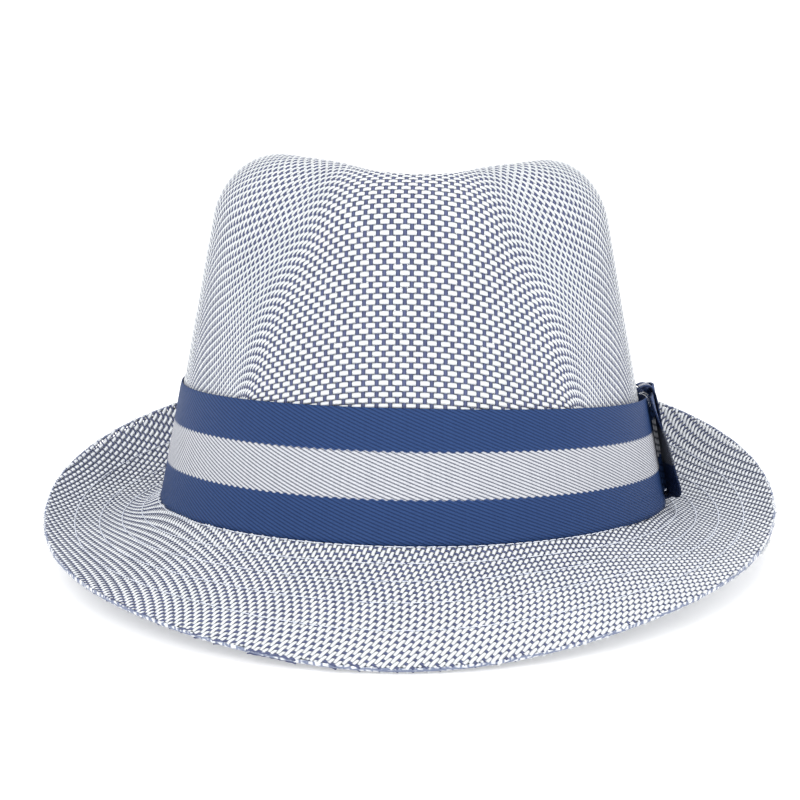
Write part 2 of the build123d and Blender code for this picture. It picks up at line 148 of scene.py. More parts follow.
def crown_surface(a, b, inset=0.0):
    """The crown over a plane, whose middle is the dent: 1 out is the ridge and 2 out is the headline."""
    reach = np.maximum(np.hypot(a, b), 1e-9)
    c, s = np.where(reach > 1e-8, a / reach, 1.0), b / reach
    t = 2 - reach
    base_x = (HALF_WIDTH - inset) * c * (1 + EGG * s)
    base_y = (HALF_LENGTH - inset) * s
    ridge_x = (RIDGE_HALF_WIDTH - inset) * c * (1 + RIDGE_TEARDROP * s) + CROWN_LEAN
    ridge_y = (RIDGE_HALF_LENGTH - inset) * s + RIDGE_SHIFT
    middle = (RIDGE_FRONT + RIDGE_BACK) / 2
    ends = middle + (RIDGE_BACK - RIDGE_FRONT) / 2 * s
    ridge_z = ends + (RIDGE_SIDE - middle) * c * c - CROWN_ROLL * c - inset
    turn = np.clip((t - WALL_SHARE) / (1 - WALL_SHARE), 0, 1) * np.pi / 2
    blend = SHOULDER_IN / SHOULDER_UP * (1 - SHOULDER_UP) / (1 - SHOULDER_IN)
    inward = SHOULDER_IN + (1 - SHOULDER_IN) * (blend * np.sin(turn) + (1 - blend) * (1 - np.cos(turn)))
    upward = SHOULDER_UP + (1 - SHOULDER_UP) * np.sin(turn)
    below = t < WALL_SHARE
    inward = np.where(below, SHOULDER_IN * t / WALL_SHARE, inward)
    upward = np.where(below, SHOULDER_UP * t / WALL_SHARE, upward)
    top = t > 1
    share = np.minimum(reach, 1)
    bottom = (RIDGE_SIDE + RIDGE_FRONT) / 2 - DENT_DEPTH - inset
    x = np.where(top, CROWN_LEAN + (ridge_x - CROWN_LEAN) * share, base_x + (ridge_x - base_x) * inward)
    y = np.where(top, RIDGE_SHIFT + (ridge_y - RIDGE_SHIFT) * share, base_y + (ridge_y - base_y) * inward)
    z = np.where(top, ridge_z + (bottom - ridge_z) * (1 - share ** 2) ** 2, ridge_z * upward)
    level = np.where(top, 1 + PINCH_FADE * (1 - share), upward)
    pinch = np.zeros_like(x)
    for side in (-1, 1):
        centre = math.radians(270 + side * PINCH_ANGLE)
        away = np.degrees(np.arccos(np.clip(c * math.cos(centre) + s * math.sin(centre), -1, 1)))
        pinch += np.exp(-(away / PINCH_SPREAD) ** 2)
    pinch *= PINCH_DEPTH * np.exp(-((level - PINCH_UP) / PINCH_UP_SPREAD) ** 2)
    across, along = c / HALF_WIDTH, s / HALF_LENGTH
    pinch /= np.hypot(across, along)
    return np.stack([x - pinch * across, y - pinch * along, z], axis=-1)


def crown_frame(a, b, inset=0.0):
    """Point and outward normal of the crown."""
    step = 1e-3
    point = crown_surface(a, b, inset)
    along_a = crown_surface(a + step, b, inset) - crown_surface(a - step, b, inset)
    along_b = crown_surface(a, b + step, inset) - crown_surface(a, b - step, inset)
    normal = np.cross(along_a, along_b)
    return point, normal / np.maximum(np.linalg.norm(normal, axis=-1, keepdims=True), 1e-12)


def crown_tables():
    """Lengths down the crown's meridians, and how far round each of its levels the angles lie."""
    angles = np.linspace(0, 2 * np.pi, 4 * QUARTER + 1)
    reaches = np.linspace(0, NET_REACH, LEVELS)
    grid_angle, grid_reach = np.meshgrid(angles, np.maximum(reaches, 1e-3), indexing="ij")
    points = crown_surface(grid_reach * np.cos(grid_angle), grid_reach * np.sin(grid_angle))
    down = np.zeros_like(grid_reach)
    down[:, 1:] = np.cumsum(np.linalg.norm(np.diff(points, axis=1), axis=-1), axis=1)
    around = np.zeros_like(grid_reach)
    around[1:] = np.cumsum(np.linalg.norm(np.diff(points, axis=0), axis=-1), axis=0)
    return angles, reaches, down, around


def sheet_lengths(u, v):
    """The panels' half widths, how far down the crown a place lies, and its turn from front to side."""
    size = (u ** 6 + v ** 6 + 1e-6) ** (1 / 6)
    front, side = FRONT_PANEL * size, SIDE_PANEL * size
    past_u = np.maximum(u - front, 0) * (1 - SIDE_PANEL) / (1 - FRONT_PANEL)
    past_v = np.maximum(v - side, 0)
    down = side + (past_u ** CORNER_POWER + past_v ** CORNER_POWER) ** (1 / CORNER_POWER)
    return front, side, down, past_u / np.maximum(past_u + past_v, 1e-6)


def angle_at(around, angles, level, aim):
    """The angle that lies a length round the crown at a level."""
    nearest = np.round(level).astype(int)
    angle = np.zeros_like(aim)
    for j in range(LEVELS):
        here = nearest == j
        angle[here] = np.interp(aim[here], around[:, j], angles)
    return angle


def draped_net():
    """Lays a square-woven sheet over the crown. Panels in front, behind and at the sides stay square;
    the corners between them take the fullness, where the strips shear and crowd."""
    across = np.arange(-NET_HALF_ACROSS, NET_HALF_ACROSS + 1) * NET_ACROSS
    along = np.arange(-NET_HALF_ALONG, NET_HALF_ALONG + 1) * NET_ALONG
    sheet_x, sheet_y = np.meshgrid(across, along, indexing="ij")
    u, v = np.abs(sheet_x), np.abs(sheet_y)
    front, side, down, turn = sheet_lengths(u, v)
    angles, reaches, depth, around = crown_tables()
    quadrant = np.where(sheet_y >= 0, np.where(sheet_x >= 0, 0, 1), np.where(sheet_x >= 0, 3, 2))
    forwards = (quadrant == 1) | (quadrant == 3)
    share = np.arctan2(u, v) / (np.pi / 2)
    for _ in range(4):
        place = (quadrant + np.where(forwards, share, 1 - share)) * QUARTER
        reach = level_at(depth, reaches, place, down)
        level = reach / NET_REACH * (LEVELS - 1)
        start = bilinear(around, quadrant * QUARTER * np.ones_like(level), level)
        arc = bilinear(around, (quadrant + 1) * QUARTER * np.ones_like(level), level) - start
        inner = front + (arc - front - side) * turn
        walked = np.clip(np.where(u < front, u, np.where(v < side, arc - v, inner)), 0, arc)
        angle = angle_at(around, angles, level, start + np.where(forwards, walked, arc - walked))
        place = angle / (np.pi / 2) - quadrant
        share = np.clip(np.where(forwards, place, 1 - place), 0, 1)
    kept = reach < NET_REACH - 0.05
    a, b = reach * np.cos(angle), reach * np.sin(angle)
    for _ in range(NET_ROUNDS):
        a, b = relaxed(a, b, kept)
    return a, b, kept


def level_at(depth, reaches, place, down):
    """How far from the dent's middle, in the crown's measure, a length down a meridian lies."""
    lower = np.clip(np.floor(place).astype(int), 0, len(depth) - 2)
    share = place - lower
    reach = np.zeros_like(down)
    for i in np.unique(lower):
        here = lower == i
        near = np.interp(down[here], depth[i], reaches)
        far = np.interp(down[here], depth[i + 1], reaches)
        reach[here] = near * (1 - share[here]) + far * share[here]
    return reach


def relaxed(a, b, kept):
    """One round of pulling stretched cells of the net back to size, along the crown's surface."""
    point = crown_surface(a, b)
    move = np.zeros_like(point)
    count = np.zeros(a.shape)
    for axis, rest in ((0, NET_ACROSS), (1, NET_ALONG)):
        point_, move_, count_, kept_ = (np.moveaxis(x, axis, 0) for x in (point, move, count, kept))
        span = point_[1:] - point_[:-1]
        length = np.maximum(np.linalg.norm(span, axis=-1, keepdims=True), 1e-9)
        both = kept_[1:] & kept_[:-1]
        pull = np.maximum(1 - rest / length, 0) * both[..., None]
        push = span * (0.5 * pull + EVEN_SHARE * both[..., None])
        move_[:-1] += push
        move_[1:] -= push
        count_[:-1] += both
        count_[1:] += both
    move *= NET_HURRY / np.maximum(count, 1)[..., None]
    step = 1e-3
    along_a = (crown_surface(a + step, b) - point) / step
    along_b = (crown_surface(a, b + step) - point) / step
    aa, bb = (along_a ** 2).sum(-1) + 1, (along_b ** 2).sum(-1) + 1
    ab = (along_a * along_b).sum(-1)
    ma, mb = (along_a * move).sum(-1), (along_b * move).sum(-1)
    under = aa * bb - ab * ab
    shift_a, shift_b = (bb * ma - ab * mb) / under, (aa * mb - ab * ma) / under
    size = np.maximum(np.hypot(shift_a, shift_b) / NET_STEP, 1)
    return np.where(kept, a + shift_a / size, a), np.where(kept, b + shift_b / size, b)


def bilinear(values, i, j):
    """A table's value between its rows and columns."""
    i0 = np.clip(np.floor(i).astype(int), 0, values.shape[0] - 2)
    j0 = np.clip(np.floor(j).astype(int), 0, values.shape[1] - 2)
    s, t = i - i0, j - j0
    low = values[i0, j0] * (1 - s) + values[i0 + 1, j0] * s
    high = values[i0, j0 + 1] * (1 - s) + values[i0 + 1, j0 + 1] * s
    return low * (1 - t) + high * t


def crown_strips(net, crosswise):
    """The crown's white strips (crosswise) or navy strips, as runs of points and outward normals."""
    a_net, b_net, kept = net
    pitch, step = (STRIP_PITCH, WARP_PITCH / 2) if crosswise else (WARP_PITCH, STRIP_PITCH / 2)
    far, long = NET_HALF_ALONG * NET_ALONG, NET_HALF_ACROSS * NET_ACROSS
    if not crosswise:
        far, long = long, far
    count, samples = int(far / pitch), int(long / step)
    strips = []
    for k in range(-count, count + 1):
        along = np.arange(-samples, samples + 1) * step
        beside = np.full_like(along, k * pitch)
        u, v = (along, beside) if crosswise else (beside, along)
        i, j = u / NET_ACROSS + NET_HALF_ACROSS, v / NET_ALONG + NET_HALF_ALONG
        sound = bilinear(kept.astype(float), i, j) > 0.999
        a, b = bilinear(a_net, i, j), bilinear(b_net, i, j)
        beside_i, beside_j = (i, j + 0.5) if crosswise else (i + 0.5, j)
        beside = crown_surface(bilinear(a_net, beside_i, beside_j), bilinear(b_net, beside_i, beside_j))
        crowding = 2 * sideways(crown_surface(a, b), beside) / (NET_ALONG if crosswise else NET_ACROSS)
        wave = np.cos(np.pi * (np.arange(-samples, samples + 1) / 2 + k))
        point, normal = crown_frame(a, b, STRAW_MIDDLE)
        point = point + normal * (STRIP_WAVE * wave if crosswise else -WARP_WAVE * wave)[:, None]
        sound &= point[:, 2] > HIDDEN_BELOW
        strips += runs(point, normal, crowding, sound)
    return strips


def sideways(point, beside):
    """How far the neighbouring line of the net lies to the side of a strip."""
    along = np.gradient(point, axis=0)
    along /= np.maximum(np.linalg.norm(along, axis=1, keepdims=True), 1e-9)
    return np.linalg.norm(np.cross(along, beside - point), axis=1)


def runs(point, normal, crowding, sound):
    """The stretches of a strip that are kept, each with its width's share of the full one."""
    edges = np.flatnonzero(np.diff(np.concatenate([[0], sound.astype(int), [0]])))
    share = np.clip(crowding, NARROWEST, WIDEST)
    return [(point[i:j], normal[i:j], share[i:j]) for i, j in zip(edges[::2], edges[1::2]) if j - i > 3]


def rim_line(angle):
    """The brim's edge."""
    c, s = np.cos(angle), np.sin(angle)
    corner = RIM_CORNER_LIFT * (2 * s * c) ** 2 * np.maximum(0, -s)
    height = RIM_MIDDLE + RIM_TILT * s + RIM_ROLL * c + corner
    return RIM_HALF_WIDTH * c, np.where(s > 0, RIM_BACK, RIM_FRONT) * s, height


def beside_section(angle, x, y):
    """How far a place seen from above lies beside the brim's section at an angle."""
    start_x, start_y = smooth_oval(angle, JOIN_INSET)
    end_x, end_y, _ = rim_line(angle)
    length = np.hypot(end_x - start_x, end_y - start_y)
    return ((end_x - start_x) * (y - start_y) - (end_y - start_y) * (x - start_x)) / length


def brim_place(x, y):
    """Angle of the brim's section and share of its width, for a place seen from above."""
    angle = np.arctan2(y / MIDDLE_HALF_LENGTH, x / MIDDLE_HALF_WIDTH)
    for _ in range(8):
        error = beside_section(angle, x, y)
        slope = (beside_section(angle + 1e-4, x, y) - error) / 1e-4
        angle = angle - np.clip(error / np.where(np.abs(slope) < 1, -1, slope), -0.3, 0.3)
    start_x, start_y = smooth_oval(angle, JOIN_INSET)
    end_x, end_y, _ = rim_line(angle)
    length2 = (end_x - start_x) ** 2 + (end_y - start_y) ** 2
    share = ((x - start_x) * (end_x - start_x) + (y - start_y) * (end_y - start_y)) / length2
    return angle, share


def brim_level(angle, share, root_share=1.0):
    """Height of the brim's top, with the root that turns up into the crown under the ribbon."""
    s = np.sin(angle)
    sag = SAG_SIDE + (SAG_BACK - SAG_FRONT) / 2 * s + ((SAG_BACK + SAG_FRONT) / 2 - SAG_SIDE) * s * s
    start_x, start_y = smooth_oval(angle, JOIN_INSET)
    end_x, end_y, rim_z = rim_line(angle)
    out = np.maximum(share, 0) * np.hypot(end_x - start_x, end_y - start_y)
    root = root_share * (ROOT_RISE - ROOT_TILT * np.cos(angle)) * np.exp(-(out / ROOT_RUN) ** 1.5)
    return (rim_z + JOIN_DROP) * share - 4 * sag * share * (1 - share) - JOIN_DROP + root


def brim_frame(x, y, depth):
    """Point and upward normal a depth below the brim's top, and the angle and share of the width there."""
    step = 0.05
    root_share = 1.0 if depth < STIFFENER_DEPTH else 0.0
    angle, share = brim_place(x, y)
    z = brim_level(angle, share, root_share)
    slope_x = (brim_level(*brim_place(x + step, y), root_share) - z) / step
    slope_y = (brim_level(*brim_place(x, y + step), root_share) - z) / step
    normal = np.stack([-slope_x, -slope_y, np.ones_like(z)], axis=-1)
    normal /= np.linalg.norm(normal, axis=-1, keepdims=True)
    return np.stack([x, y, z], axis=-1) - normal * depth, normal, angle, share


def swirl(u, v):
    """Where the brim's sheet comes to lie: turned from the hat's axes, and twisted by the blocking."""
    radius = np.hypot(u, v)
    width = np.clip((radius - BRIM_INNER) / BRIM_WIDTH, 0, 1.2)
    turn = BRIM_TURN + BRIM_WIDTH / MIDDLE_HALF_LENGTH * BRIM_SHEAR * width ** 2 / 2
    c, s = np.cos(turn), np.sin(turn)
    return u * c - v * s, u * s + v * c


def brim_strips(lengthwise, depth):
    """The brim's white strips (lengthwise) or navy strips, at a depth below its top."""
    white, navy = STRIP_PITCH * BRIM_FINENESS, WARP_PITCH * BRIM_FINENESS
    pitch, step = (white, navy / 2) if lengthwise else (navy, white / 2)
    spread, spread_change = WHITE_SPREAD if lengthwise else NAVY_SPREAD
    count, samples = int(BRIM_SHEET_HALF / pitch), int(BRIM_SHEET_HALF / step)
    strips = []
    for k in range(-count, count + 1):
        index = np.arange(-samples, samples + 1)
        along, beside = index * step, np.full(len(index), k * pitch)
        u, v = (along, beside) if lengthwise else (beside, along)
        x, y = swirl(u, v)
        oval_share = np.hypot(x / (HALF_WIDTH - 2), y / (HALF_LENGTH - 2))
        rim_share = np.hypot(x / (RIM_HALF_WIDTH + 2), y / np.where(y > 0, RIM_BACK + 2, RIM_FRONT + 2))
        near = (oval_share > 0.97) & (rim_share < 1.0)
        if near.sum() < 4:
            continue
        point = np.zeros((len(index), 3))
        normal = np.zeros((len(index), 3))
        share = np.full(len(index), -1.0)
        sideward = np.zeros(len(index))
        point[near], normal[near], angle, share[near] = brim_frame(x[near], y[near], depth)
        sideward[near] = np.cos(angle) ** 2
        crowding = spread + spread_change * sideward
        wave = np.cos(np.pi * (index / 2 + k))
        point += normal * (STRIP_WAVE * wave if lengthwise else -WARP_WAVE * wave)[:, None]
        strips += runs(point, normal, crowding, (share > STRIPS_START) & (share < STRIPS_END))
    return strips


def band_points(angle, height, outward):
    """Points of a band round the headline, at heights over it and distances outward of the crown's wall."""
    angle, height, outward = np.broadcast_arrays(angle, height, outward)
    c, s = np.cos(angle), np.sin(angle)
    middle = (RIDGE_FRONT + RIDGE_BACK) / 2
    ridge_z = middle + (RIDGE_BACK - RIDGE_FRONT) / 2 * s + (RIDGE_SIDE - middle) * c * c - CROWN_ROLL * c
    reach = 2 - WALL_SHARE * height / (SHOULDER_UP * ridge_z)
    wall = crown_surface(reach * c, reach * s)
    across, along = c / HALF_WIDTH, s / HALF_LENGTH
    size = np.hypot(across, along)
    x, y = wall[..., 0] + outward * across / size, wall[..., 1] + outward * along / size
    return np.stack([x, y, height], axis=-1)


def new_mesh(name, points, faces, material):
    """A smooth mesh from headline millimetres, which rides on the hat."""
    mesh = bpy.data.meshes.new(name)
    mesh.from_pydata(to_world(points).tolist(), [], faces)
    mesh.polygons.foreach_set("use_smooth", np.ones(len(mesh.polygons), bool))
    mesh.update()
    piece = bpy.data.objects.new(name, mesh)
    bpy.context.scene.collection.objects.link(piece)
    mesh.materials.append(material)
    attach(piece, "root")
    return piece


def set_uv(piece, name, values):
    """Adds a map, one pair of values for each corner of each face."""
    layer = piece.data.uv_layers.new(name=name)
    layer.data.foreach_set("uv", np.asarray(values, np.float32).ravel())


def band_faces(columns, count):
    """Faces round a closed band, whose section has a count of points."""
    faces = []
    for i in range(columns):
        j = (i + 1) % columns
        for k in range(count):
            m = (k + 1) % count
            faces.append((i * count + k, j * count + k, j * count + m, i * count + m))
    return faces


def lens_strips(name, strips, width, material):
    """Flat strips of straw with a rounded face, each one closed."""
    all_points, faces, uvs = [], [], []
    start = 0
    longest = max(len(point) for point, _, _ in strips)
    rows = len(strips)
    for row, (point, normal, share) in enumerate(strips):
        along = np.gradient(point, axis=0)
        side = np.cross(normal, along)
        side /= np.maximum(np.linalg.norm(side, axis=1, keepdims=True), 1e-9)
        half, rise = side * share[:, None] * width / 2, normal * STRIP_THICKNESS / 2
        ring = np.stack([point - half, point + rise, point + half, point - rise], axis=1)
        all_points.append(ring.reshape(-1, 3))
        n = len(point)
        i = np.arange(n - 1)[:, None]
        k = np.arange(4)[None, :]
        a, b = start + 4 * i + k, start + 4 * i + (k + 1) % 4
        faces.append(np.stack([a, b, b + 4, a + 4], axis=-1).reshape(-1, 4))
        low = np.broadcast_to(i / longest, (n - 1, 4))
        high = np.broadcast_to((i + 1) / longest, (n - 1, 4))
        near = (row + (k + 0.1) / 4.2) / rows + 0 * low
        far = (row + (k + 1) / 4.2) / rows + 0 * low
        uv = np.stack([np.stack([low, near], -1), np.stack([low, far], -1),
                       np.stack([high, far], -1), np.stack([high, near], -1)], axis=2)
        uvs.append(uv.reshape(-1, 2))
        first = np.arange(4)
        faces.append(np.array([start + first[::-1], start + 4 * (n - 1) + first]))
        corner = np.array([[0, row], [0, row + 0.2], [0.002, row + 0.2], [0.002, row]]) / [1, rows]
        uvs.append(np.concatenate([corner, corner]))
        start += 4 * n
    points, faces = np.concatenate(all_points), np.concatenate(faces).tolist()
    piece = new_mesh(name, points, faces, material)
    set_uv(piece, "OFBake", np.concatenate(uvs))
    return piece


def node_tree(name):
    """A new material, its node tree and its shader."""
    material = bpy.data.materials.new(name)
    material.use_nodes = True
    tree = material.node_tree
    shader = tree.nodes["Principled BSDF"]
    return material, tree, shader


def add_node(tree, kind, inputs=(), **settings):
    """A node; each input is a socket or a value."""
    node = tree.nodes.new(kind)
    for key, value in settings.items():
        setattr(node, key, value)
    for key, value in dict(inputs).items():
        if isinstance(value, bpy.types.NodeSocket):
            tree.links.new(value, node.inputs[key])
        else:
            node.inputs[key].default_value = value
    return node


def mixed(tree, share, first, second):
    """Colour mix; share, first and second are sockets or values."""
    node = tree.nodes.new("ShaderNodeMix")
    node.data_type = "RGBA"
    for index, value in ((0, share), (6, first), (7, second)):
        if isinstance(value, bpy.types.NodeSocket):
            tree.links.new(value, node.inputs[index])
        else:
            node.inputs[index].default_value = value
    return node.outputs[2]


def maths(tree, operation, first, second=0.0, third=0.0, clamp=False):
    """A calculation on sockets or values."""
    node = tree.nodes.new("ShaderNodeMath")
    node.operation, node.use_clamp = operation, clamp
    for index, value in enumerate((first, second, third)):
        if isinstance(value, bpy.types.NodeSocket):
            tree.links.new(value, node.inputs[index])
        else:
            node.inputs[index].default_value = value
    return node.outputs[0]


def add_bump(tree, shader, height, strength, distance, invert=False):
    """Raises a shader's surface by a height."""
    bump = add_node(tree, "ShaderNodeBump", {"Height": height, "Strength": strength, "Distance": distance},
                    invert=invert)
    tree.links.new(bump.outputs["Normal"], shader.inputs["Normal"])


def straw_material(name, light, dark, roughness):
    """Paper-yarn strip: streaks of tone, a few darker stretches, and a fine fibre grain."""
    material, tree, shader = node_tree(name)
    where = add_node(tree, "ShaderNodeTexCoord").outputs["Object"]
    streak = add_node(tree, "ShaderNodeTexNoise", {"Vector": where, "Scale": 420.0, "Detail": 3.0})
    patch = add_node(tree, "ShaderNodeTexNoise", {"Vector": where, "Scale": 45.0, "Detail": 2.0})
    tone = maths(tree, "MULTIPLY_ADD", streak.outputs["Fac"], 1.6, -0.3, clamp=True)
    tone = maths(tree, "MULTIPLY", tone, 0.6)
    tone = maths(tree, "MULTIPLY_ADD", patch.outputs["Fac"], 0.5, tone, clamp=True)
    tree.links.new(mixed(tree, tone, dark, light), shader.inputs["Base Color"])
    shader.inputs["Roughness"].default_value = roughness
    shader.inputs["Specular IOR Level"].default_value = 0.35
    grain = add_node(tree, "ShaderNodeTexNoise", {"Vector": where, "Scale": 2600.0, "Detail": 2.0})
    add_bump(tree, shader, grain.outputs["Fac"], 0.25, 0.0001)
    return material


def woven_edge_material(name, light, dark):
    """The rim's fold, too narrow for single strips: pale cells with dark lines between."""
    material, tree, shader = node_tree(name)
    where = add_node(tree, "ShaderNodeTexCoord").outputs["Object"]
    cells = add_node(tree, "ShaderNodeTexVoronoi", {"Vector": where, "Scale": 470.0, "Randomness": 0.3},
                     feature="DISTANCE_TO_EDGE")
    tone = maths(tree, "MULTIPLY_ADD", cells.outputs["Distance"], 5.0, -0.35, clamp=True)
    tree.links.new(mixed(tree, tone, dark, light), shader.inputs["Base Color"])
    shader.inputs["Roughness"].default_value = 0.6
    return material


def sine_share(tree, value, pitch):
    """A wave from 0 to 1 along a value."""
    wave = maths(tree, "SINE", maths(tree, "MULTIPLY", value, 2 * math.pi / pitch))
    return maths(tree, "MULTIPLY_ADD", wave, 0.5, 0.5)


def white_stripe(tree, share, sharpness):
    """1 in the white stripe and 0 in the navy ones, by the share of the ribbon's width."""
    above = maths(tree, "MULTIPLY_ADD", share, sharpness, -sharpness * STRIPE_LOW, clamp=True)
    below = maths(tree, "MULTIPLY_ADD", share, -sharpness, sharpness * STRIPE_HIGH, clamp=True)
    return maths(tree, "MULTIPLY", above, below)


def twill_colours(tree, shader, stripe, shade, white, navy):
    """Darkens the white and the navy stripes by a share, each from its light to its dark colour; the share
    is painted shade in the twill's grooves, and on the band between its weft ribs, mixed with random flecks
    of tone.
    """
    pale, blue = mixed(tree, shade, *white), mixed(tree, shade, *navy)
    tree.links.new(mixed(tree, stripe, blue, pale), shader.inputs["Base Color"])
    shader.inputs["Roughness"].default_value = TWILL_ROUGHNESS
    shader.inputs["Specular IOR Level"].default_value = TWILL_SPECULAR


def ribbon_material(name, white, navy):
    """Navy, white and navy twill: the band's map is millimetres along it and its share of the width."""
    material, tree, shader = node_tree(name)
    where = add_node(tree, "ShaderNodeUVMap", uv_map="cloth").outputs["UV"]
    split = add_node(tree, "ShaderNodeSeparateXYZ", {"Vector": where})
    along, share = split.outputs["X"], split.outputs["Y"]
    scallop = maths(tree, "SINE", maths(tree, "MULTIPLY", along, 2 * math.pi / SCALLOP))
    edge = maths(tree, "ADD", share, maths(tree, "MULTIPLY", scallop, STRIPE_SCALLOP))
    slant = maths(tree, "MULTIPLY_ADD", share, RIBBON_WIDTH, maths(tree, "MULTIPLY", along, TWILL_SLANT))
    # painted shade: the twill's grooves darken the colour as well as setting the bump
    groove = maths(tree, "POWER", sine_share(tree, slant, TWILL_PITCH), TWILL_GROOVE)
    # painted shade between the weft ribs, mixed below with random flecks of tone
    rib = sine_share(tree, share, WEFT_PITCH / RIBBON_WIDTH)
    flecks = add_node(tree, "ShaderNodeTexNoise", {"Vector": where, "Scale": 3.0, "Detail": 3.0})
    rib_shade_and_flecks = maths(tree, "MULTIPLY_ADD", rib, 0.35, maths(tree, "MULTIPLY", flecks.outputs["Fac"], 0.3))
    shade = maths(tree, "MULTIPLY_ADD", groove, 0.75, rib_shade_and_flecks, clamp=True)
    twill_colours(tree, shader, white_stripe(tree, edge, 120.0), shade, white, navy)
    height = maths(tree, "MULTIPLY_ADD", rib, 0.25, maths(tree, "SUBTRACT", 1.0, groove))
    add_bump(tree, shader, height, 0.6, 0.00015)
    return material


def bow_material(name, white, navy):
    """The same twill for the folded bow, its stripes by the height up the crown's wall."""
    material, tree, shader = node_tree(name)
    where = add_node(tree, "ShaderNodeTexCoord").outputs["Object"]
    foot = to_world(band_points(np.array(BOW_ANGLE), np.array(RIBBON_BOTTOM), np.array(0.0)))
    head = to_world(band_points(np.array(BOW_ANGLE), np.array(RIBBON_BOTTOM + RIBBON_WIDTH), np.array(0.0)))
    up = (head - foot) / np.linalg.norm(head - foot)
    striped = BOW_STRIPED_HEIGHT * MM
    rise = add_node(tree, "ShaderNodeVectorMath", operation="DOT_PRODUCT")
    tree.links.new(where, rise.inputs[0])
    rise.inputs[1].default_value = up / striped
    share = maths(tree, "SUBTRACT", rise.outputs["Value"], float(foot @ up) / striped)
    split = add_node(tree, "ShaderNodeSeparateXYZ", {"Vector": where})
    slant = maths(tree, "MULTIPLY_ADD", split.outputs["Z"], TWILL_SLANT, split.outputs["Y"])
    # painted shade: the twill's grooves darken the colour as well as setting the bump
    groove = maths(tree, "POWER", sine_share(tree, slant, TWILL_PITCH * MM), TWILL_GROOVE)
    flecks = add_node(tree, "ShaderNodeTexNoise", {"Vector": where, "Scale": 2200.0, "Detail": 3.0})
    shade = maths(tree, "MULTIPLY_ADD", flecks.outputs["Fac"], 0.5,
                  maths(tree, "MULTIPLY", groove, 0.75), clamp=True)
    twill_colours(tree, shader, white_stripe(tree, share, 90.0), shade, white, navy)
    add_bump(tree, shader, groove, 0.5, 0.0001, invert=True)
    return material


def cloth_material(name, light, dark, scale, roughness, depth):
    """Plain small-scale woven cloth or thread with a little unevenness."""
    material, tree, shader = node_tree(name)
    where = add_node(tree, "ShaderNodeTexCoord").outputs["Object"]
    weave = add_node(tree, "ShaderNodeTexWave", {"Vector": where, "Scale": scale, "Distortion": 1.0})
    weave.bands_direction = "DIAGONAL"
    flecks = add_node(tree, "ShaderNodeTexNoise", {"Vector": where, "Scale": scale, "Detail": 3.0})
    shade = maths(tree, "MULTIPLY", flecks.outputs["Fac"], 0.5)
    shade = maths(tree, "MULTIPLY_ADD", weave.outputs["Fac"], 0.5, shade)
    tree.links.new(mixed(tree, shade, dark, light), shader.inputs["Base Color"])
    shader.inputs["Roughness"].default_value = roughness
    add_bump(tree, shader, shade, 0.5, depth)
    return material


def from_bow(angle):
    """Degrees round the hat from the bow."""
    return (np.degrees(angle) - math.degrees(BOW_ANGLE) + 180) % 360 - 180


def ribbon_top(angle):
    """Height of the ribbon's upper edge, which the bow draws down and which dips a little opposite it."""
    away = from_bow(angle)
    far = 180 - np.abs(away)
    dip = RIBBON_DIP * np.exp(-(away / RIBBON_DIP_SPREAD) ** 2)
    return RIBBON_BOTTOM + RIBBON_WIDTH - dip - RIBBON_FAR_DIP * np.exp(-(far / RIBBON_DIP_SPREAD) ** 2)


def ribbon_foot(angle):
    """Height of the ribbon's lower edge, just clear of the brim's root."""
    start_x, start_y = smooth_oval(angle, JOIN_INSET)
    end_x, end_y, _ = rim_line(angle)
    return brim_level(angle, RIBBON_FOOT_OUT / np.hypot(end_x - start_x, end_y - start_y)) + RIBBON_FOOT_GAP


def build_ribbon(material):
    """The hat ribbon: a thin band with rounded edges, a little slack so it waves against the crown."""
    columns, rows = 540, 24
    angle = np.linspace(0, 2 * np.pi, columns, endpoint=False)
    share = np.linspace(0, 1, rows)
    ring = [(s, 1) for s in share] + [(s, 0) for s in share[::-1]]
    bottom, top = ribbon_foot(angle), ribbon_top(angle)
    swell = RIBBON_SWELL * np.exp(-(from_bow(angle) / RIBBON_SWELL_SPREAD) ** 2)
    points = []
    for s, outer in ring:
        height = bottom + (top - bottom) * s
        slack = TOP_SLACK * np.sin(TOP_WAVES * angle + TOP_PHASE) * s
        slack += FOOT_SLACK * np.sin(FOOT_WAVES * angle) * (1 - s)
        edge = RIBBON_THICKNESS * (RIBBON_EDGE if s in (0.0, 1.0) else 1.0)
        over_seam = SEAM_SWELL * np.exp(-(height - bottom) / SEAM_RUN)
        face = edge if outer else RIBBON_THICKNESS - edge
        out = RIBBON_GAP + face + np.maximum(slack, 0) + over_seam + swell
        points.append(band_points(angle, height, out))
    points = np.stack(points, axis=1)
    count = len(ring)
    faces = band_faces(columns, count)
    lengths = np.concatenate([[0], np.cumsum(np.linalg.norm(np.diff(points[:, 0], axis=0), axis=1))])
    uv = []
    for low in lengths:
        high = low + lengths[1]
        for k in range(count):
            s0, s1 = ring[k][0], ring[(k + 1) % count][0]
            uv += [(low, s0), (high, s0), (high, s1), (low, s1)]
    piece = new_mesh("hat_ribbon", points.reshape(-1, 3), faces, material)
    set_uv(piece, "cloth", uv)
    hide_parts("ribbon")
    return piece


def bow_axes():
    """The bow's foot, and its outward, backward and upward directions."""
    foot = band_points(np.array(BOW_ANGLE), np.array(0.0), np.array(0.0))
    head = band_points(np.array(BOW_ANGLE), np.array(RIBBON_WIDTH), np.array(0.0))
    up = (head - foot) / np.linalg.norm(head - foot)
    across = np.array([math.cos(BOW_ANGLE) / HALF_WIDTH, math.sin(BOW_ANGLE) / HALF_LENGTH, 0])
    backward = np.cross([0, 0, 1], across / np.linalg.norm(across))
    return foot, np.cross(backward, up), backward, up


